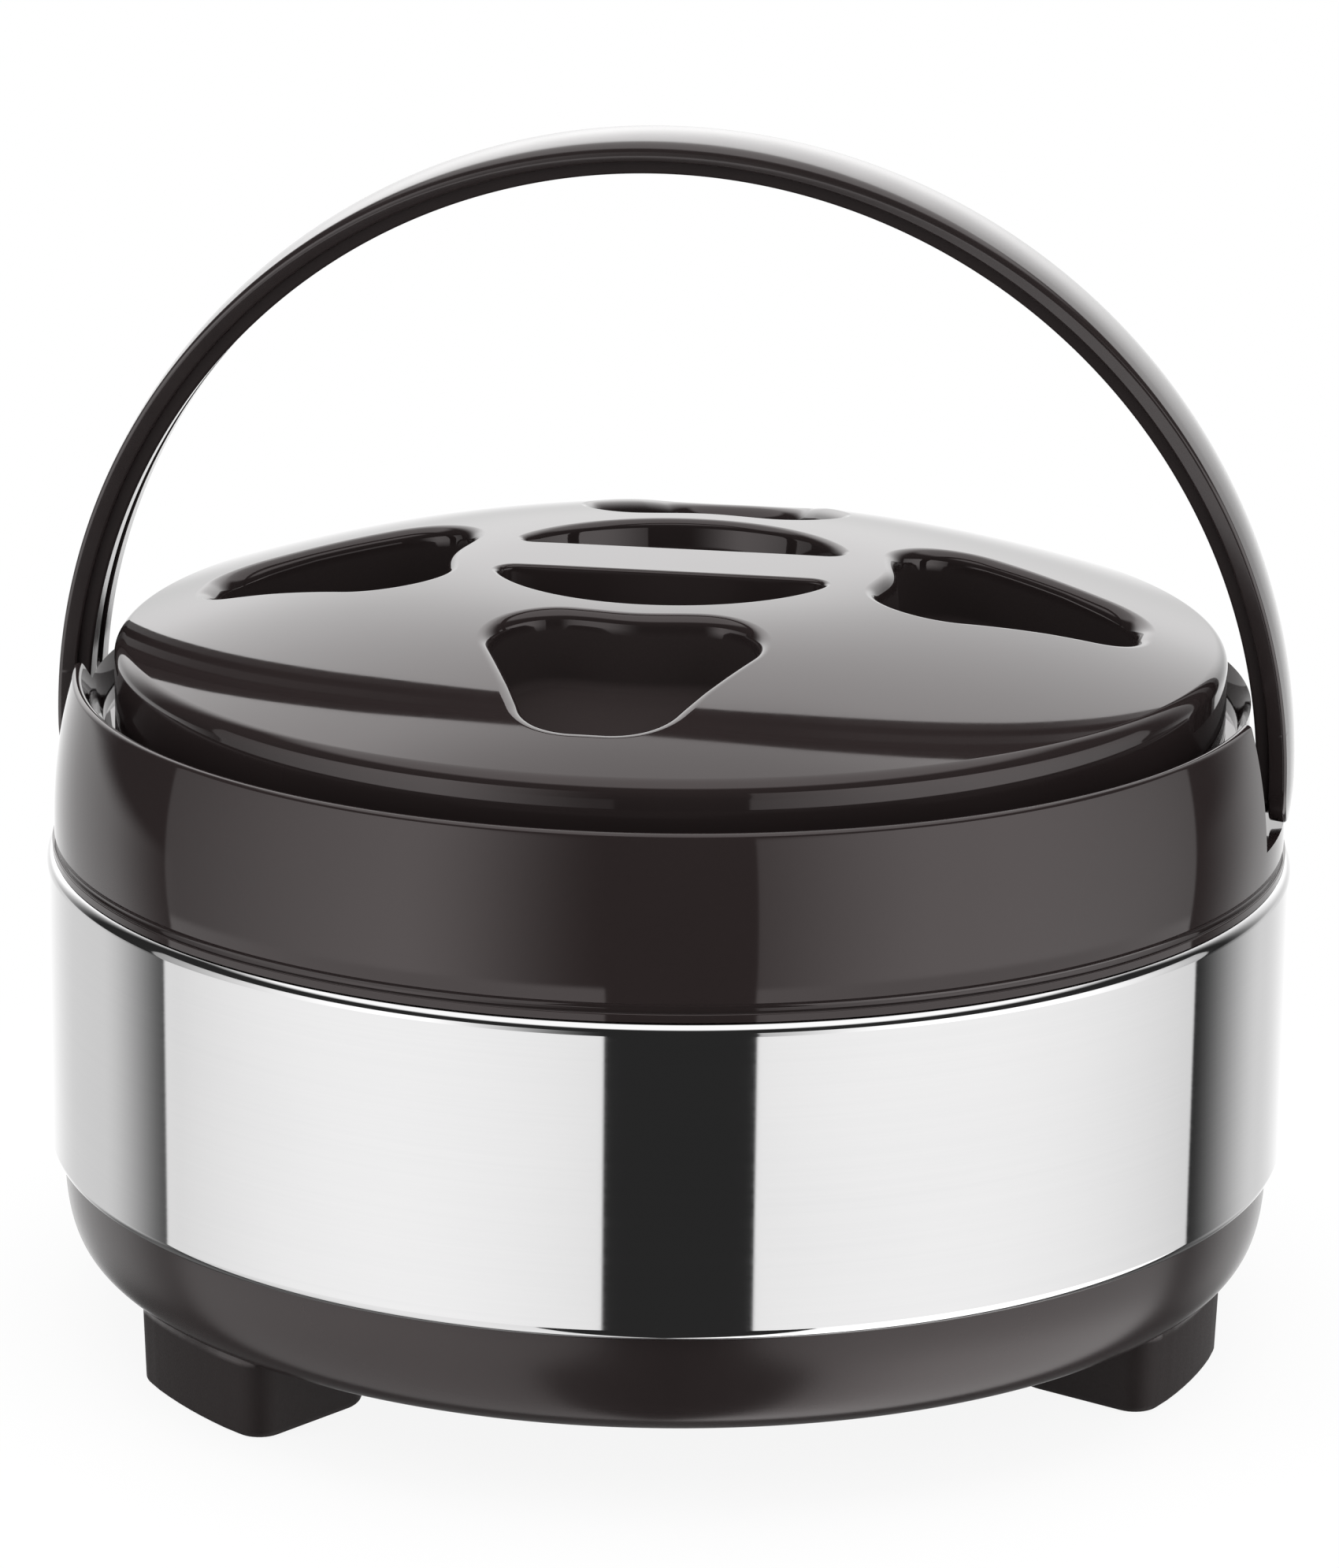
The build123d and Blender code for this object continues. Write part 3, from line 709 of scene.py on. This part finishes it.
bowl_lip = bowl_lip_bar + bowl_lip_gain * from_bar
bowl_draft = np.radians(bowl_slope_bar + bowl_slope_gain * from_bar)

recesses = []
for k in range(4):
    plan = turned(petal_plan, k * pi / 2)
    recesses.append(recess(plan, petal_depth, petal_lip, petal_draft, petal_round))
for k in range(2):
    plan = turned(bowl_plan, k * pi)
    recesses.append(recess(plan, bowl_depth, bowl_lip, bowl_draft, bowl_round))
points, faces = [], []
for rings, middle in recesses:
    first, count = len(points), len(rings[0])
    points += [tuple(p * mm) for ring in rings for p in ring] + [tuple(middle * mm)]
    faces += flipped(quads(first, len(rings), count))
    last = first + (len(rings) - 1) * count
    faces += [(last + k, len(points) - 1, last + (k + 1) % count) for k in range(count)]

edge_centre = lid_radius - lid_edge
edge_turn = pi / 2 - atan2(float(dome_slope(np.array((edge_centre + 1.0, 0.0)))), 1.0)
edge_start = edge_centre + lid_edge * cos(edge_turn)
edge_height = float(dome_at(np.array((edge_start, 0.0)))) - lid_edge * sin(edge_turn)
edge_profile = []
for k in range(15):
    turn = edge_turn * (1 - k / 14)
    edge_profile.append((edge_centre + lid_edge * cos(turn), edge_height + lid_edge * sin(turn)))
edge_profile += [(lid_radius, edge_height - 0.2), (lid_radius, lid_skirt + 0.2), (lid_radius, lid_skirt)]
first = len(points)
for r, height in edge_profile:
    for k in range(around):
        turn = 2 * pi * k / around
        points.append((r * cos(turn) * mm, r * sin(turn) * mm, height * mm))
faces += flipped(quads(first, len(edge_profile), around))

loops = [np.array(points[first:first + around])[:, :2] / mm] + [rings[0][:, :2] for rings, _ in recesses]
plan_points = np.concatenate(loops)
starts = np.cumsum([0] + [len(loop) for loop in loops])
plan_faces = [list(range(a, b)) for a, b in zip(starts[:-1], starts[1:])]
grid = []
for row in range(-grid_rows, grid_rows + 1):
    for column in range(-grid_rows, grid_rows + 1):
        grid.append((column * grid_step + (row % 2) * grid_step / 2, row * grid_step * sqrt(0.75)))
grid = np.array(grid)
grid = grid[np.linalg.norm(grid, axis=1) < edge_profile[0][0] - 1.2]
clear = np.array([np.min(np.sum((plan_points - p) ** 2, axis=1)) for p in grid]) > 1.3**2
plan_points = [Vector(p) for p in np.concatenate([plan_points, grid[clear]])]
flat, _, triangles, _, _, owners = delaunay_2d_cdt(plan_points, [], plan_faces, 1, 1e-5)
first = len(points)
flat = np.array([tuple(p) for p in flat])
points += [tuple(p) for p in np.concatenate([flat, dome_at(flat)[:, None]], axis=1) * mm]
faces += [tuple(first + k for k in tri) for tri, owner in zip(triangles, owners) if list(owner) == [0]]

lid_mesh = bpy.data.meshes.new("lid_cover_top")
lid_mesh.from_pydata(points, [], faces)
work = bmesh.new()
work.from_mesh(lid_mesh)
bmesh.ops.remove_doubles(work, verts=work.verts, dist=2e-6)
bmesh.ops.delete(work, geom=[v for v in work.verts if not v.link_faces], context="VERTS")
bmesh.ops.recalc_face_normals(work, faces=work.faces)
work.normal_update()
work.verts.index_update()
outer = [v.co.copy() for v in work.verts]
inner = [v.co - v.normal * lid_wall * mm for v in work.verts]
skin = [tuple(v.index for v in face.verts) for face in work.faces]
rim = [tuple(v.index for v in edge.verts) for edge in work.edges if edge.is_boundary]
work.free()
count = len(outer)
skin += [tuple(count + k for k in reversed(face)) for face in skin]
skin += [(a, b, count + b, count + a) for a, b in rim]
lid = solid("lid_cover_shell", [tuple(p) for p in outer + inner], skin)

lid_black, shade, spot = new_finish("lid_black")
x, y, z = axes(shade, spot)
radius = length(shade, x, y)
grain = noise(shade, spot, mould_grain)
dull = mix_colours(shade, grain, *petal_blacks)
past = shade.maths("MAXIMUM", radius - 0.030, 0.0)
below_dome = 0.1495 - past * past * 2.85 - z
deep = ramp(shade, below_dome, *matt_deep)
in_petals = deep * ramp(shade, radius, *matt_from) * ramp(shade, radius, *matt_to)
matt_petals = matt_moulding(shade, dull, grain, 0.62, 0.03, 0.15)
two_surfaces(shade, in_petals, high_gloss(shade, spot), matt_petals)
fit(lid, lid_black, "lid", "lid_cover")
lid.modifiers.clear()
normals = []
for vertex in lid.data.vertices:
    plan = np.array(vertex.co.xy) / mm
    on_dome = abs(dome_at(plan) - vertex.co.z / mm) < 3e-4 and vertex.co.xy.length < edge_start * mm + 1e-6
    lean = vertex.co.xy.normalized() * float(dome_slope(plan))
    normals.append(Vector((lean.x, lean.y, 1.0)).normalized() if on_dome else Vector())
lid.data.normals_split_custom_set_from_vertices(normals)


# The dish stands on a plain white table that fades into a white room, as in a product photograph.
# Polished faces mirror two low softboxes in front with a dark gap between them, a bright wall behind and
# a pale ceiling, while soft lamps overhead light everything evenly.

camera_turn, camera_rise, camera_distance = radians(9.3), radians(16.15), 1.188
photo_width, focal_pixels, sensor, camera_tip, camera_roll = 1700, 7789.7, 36.0, 0.00817, 0.0113
table_half, table_grey, room_light, dark_corner, lamp_aim = 4, 0.93, 0.72, 0.03, (0, 0, 0.08)

floor_mesh = bpy.data.meshes.new("table_top")
table_corners = [(x * table_half, y * table_half, 0) for x, y in ((-1, -1), (1, -1), (1, 1), (-1, 1))]
floor_mesh.from_pydata(table_corners, [], [(0, 1, 2, 3)])
floor = bpy.data.objects.new("table_top", floor_mesh)
bpy.context.scene.collection.objects.link(floor)
floor.visible_glossy = False
white_table, shade, spot = new_finish("white_table")
x, y, z = axes(shade, spot)
far = shade.node("ShaderNodeMapRange", {"interpolation_type": "SMOOTHSTEP"},
                 {"Value": length(shade, x, y), "From Min": 0.11, "From Max": 0.26, "To Min": 0.90})
seen = shade.node("ShaderNodeLightPath", {}, {}, "Is Camera Ray")
paint = shade.node("ShaderNodeBsdfDiffuse", {}, {"Color": (table_grey, table_grey, table_grey, 1)})
glow = shade.node("ShaderNodeEmission", {}, {"Color": (1, 1, 1, 1), "Strength": 1.0})
blended = shade.node("ShaderNodeMixShader", {}, {0: far * seen, 1: paint, 2: glow})
shade.node("ShaderNodeOutputMaterial", {}, {"Surface": blended})
floor.data.materials.append(white_table)

room = bpy.data.worlds.new("white_studio")
bpy.context.scene.world = room
room.use_nodes = True
room.node_tree.nodes.clear()
room.cycles.sampling_method = "NONE"
shade = Shade(room.node_tree)
east, north, up = axes(shade, shade.node("ShaderNodeTexCoord", {}, {}, "Generated"))
across = east * cos(camera_turn) + north * sin(camera_turn)
toward = east * sin(camera_turn) - north * cos(camera_turn)
bearing = shade.maths("ARCTAN2", across, toward) * (180 / pi)
rise = shade.maths("ARCSINE", up) * (180 / pi)


def step_up(value, low, high):
    # 0 below low, 1 above high, and a smooth change between them
    return shade.node("ShaderNodeMapRange", {"interpolation_type": "SMOOTHSTEP"},
                      {"Value": value, "From Min": low, "From Max": high})


# Softboxes: bearings count from the front and rises from level, in degrees. Far down the gap widens.
# The steel shows the lower part of each box, and the collar the upper part, which fades to its ends.
left_end, left_gap, right_gap, right_end = (-104.6, -103.6), (-11.4, -10.8), (15.8, 16.4), (111.6, 112.6)
box_bottom, box_middle, box_top, gap_widens = (-30, -21), (-16.9, -15.6), (15, 18), 13
sunk = 1 - step_up(rise, *box_bottom)
left_box = step_up(bearing, *left_end) * (1 - step_up(bearing + gap_widens * sunk, *left_gap))
right_box = step_up(bearing - gap_widens * sunk, *right_gap) * (1 - step_up(bearing, *right_end))
left_low = (1.32 - (bearing + 50) * (bearing + 50) * 0.00011) * (1 - 0.1 * sunk)
right_low = 1.31 - (bearing - 50) * (bearing - 50) * 0.00009
right_low = right_low * (1 + 0.9 * sunk * step_up(bearing, 18, 60))
left_high = (0.35 + 1.4 * step_up(bearing, -115, -45)) * (1 - step_up(bearing, -50, -10))
right_high = (0.35 + 1.5 * step_up(bearing, 2, 52)) * (1 - step_up(bearing, 62, 142))
upper = step_up(rise, *box_middle)
left_level = left_low * (1 - upper) + left_high * upper
right_level = right_low * (1 - upper) + right_high * upper
boxes = (left_box * left_level + right_box * right_level) * (1 - step_up(rise, *box_top))

# Wall behind: it reaches further round on the left once above the table, and is brightest high up.
lifted = step_up(rise, -9, -3)
behind = step_up(bearing - 6 * lifted, 111, 141) + (1 - step_up(bearing + 24 * lifted, -127, -99))
wall_low = 1.15 - 0.3 * step_up(bearing, -165, -140) * (1 - step_up(bearing, 142, 166))
wall_side = step_up(bearing, -165, -130) * (1 - step_up(bearing, 140, 170))
wall_rise = (2.1 - wall_low) * step_up(rise, -2, 14) * (1 - 0.75 * wall_side)
wall_foot = 0.15 + 0.85 * step_up(rise, -34, -22)
wall_light = (wall_low + wall_rise + 0.25 * step_up(rise, 20, 48)) * wall_foot
ceiling = step_up(rise, 42, 54)
studio = (boxes + behind * wall_light) * (1 - ceiling) + ceiling * 1.5 + dark_corner
seen = shade.node("ShaderNodeLightPath", {}, {}, "Is Camera Ray")
mirrored = shade.node("ShaderNodeLightPath", {}, {}, "Is Glossy Ray")
strength = seen + (1 - seen) * (mirrored * studio + (1 - mirrored) * room_light)
glow = shade.node("ShaderNodeBackground", {}, {"Color": (1, 1, 1, 1), "Strength": strength})
shade.node("ShaderNodeOutputWorld", {}, {"Surface": glow})

for name, place, size, power in (
    ("lamp_over", (0.0, 0.1, 1.5), 1.6, 14.0),
    ("lamp_left", (-1.2, -0.9, 1.1), 1.0, 5.0),
    ("lamp_right", (1.3, -0.8, 1.0), 1.0, 5.0),
):
    lamp = bpy.data.objects.new(name, bpy.data.lights.new(name, "AREA"))
    bpy.context.scene.collection.objects.link(lamp)
    lamp.data.shape = "DISK"
    lamp.data.size = size
    lamp.data.energy = power
    lamp.visible_glossy = False
    lamp.location = place
    lamp.rotation_euler = (Vector(lamp_aim) - Vector(place)).to_track_quat("-Z", "Y").to_euler()

camera = bpy.data.objects.new("camera", bpy.data.cameras.new("camera"))
bpy.context.scene.collection.objects.link(camera)
camera.data.sensor_fit = "HORIZONTAL"
camera.data.sensor_width = sensor
camera.data.lens = focal_pixels / photo_width * sensor
aim = Vector((sin(camera_turn) * cos(camera_rise), -cos(camera_turn) * cos(camera_rise), sin(camera_rise)))
camera.location = Vector((0, 0, band_top * mm)) + aim * camera_distance
lean = Quaternion((1, 0, 0), camera_tip) @ Quaternion((0, 0, 1), camera_roll)
camera.rotation_mode = "QUATERNION"
camera.rotation_quaternion = (-aim).to_track_quat("-Z", "Y") @ lean
bpy.context.scene.camera = camera
bpy.context.scene.view_settings.view_transform = "Standard"
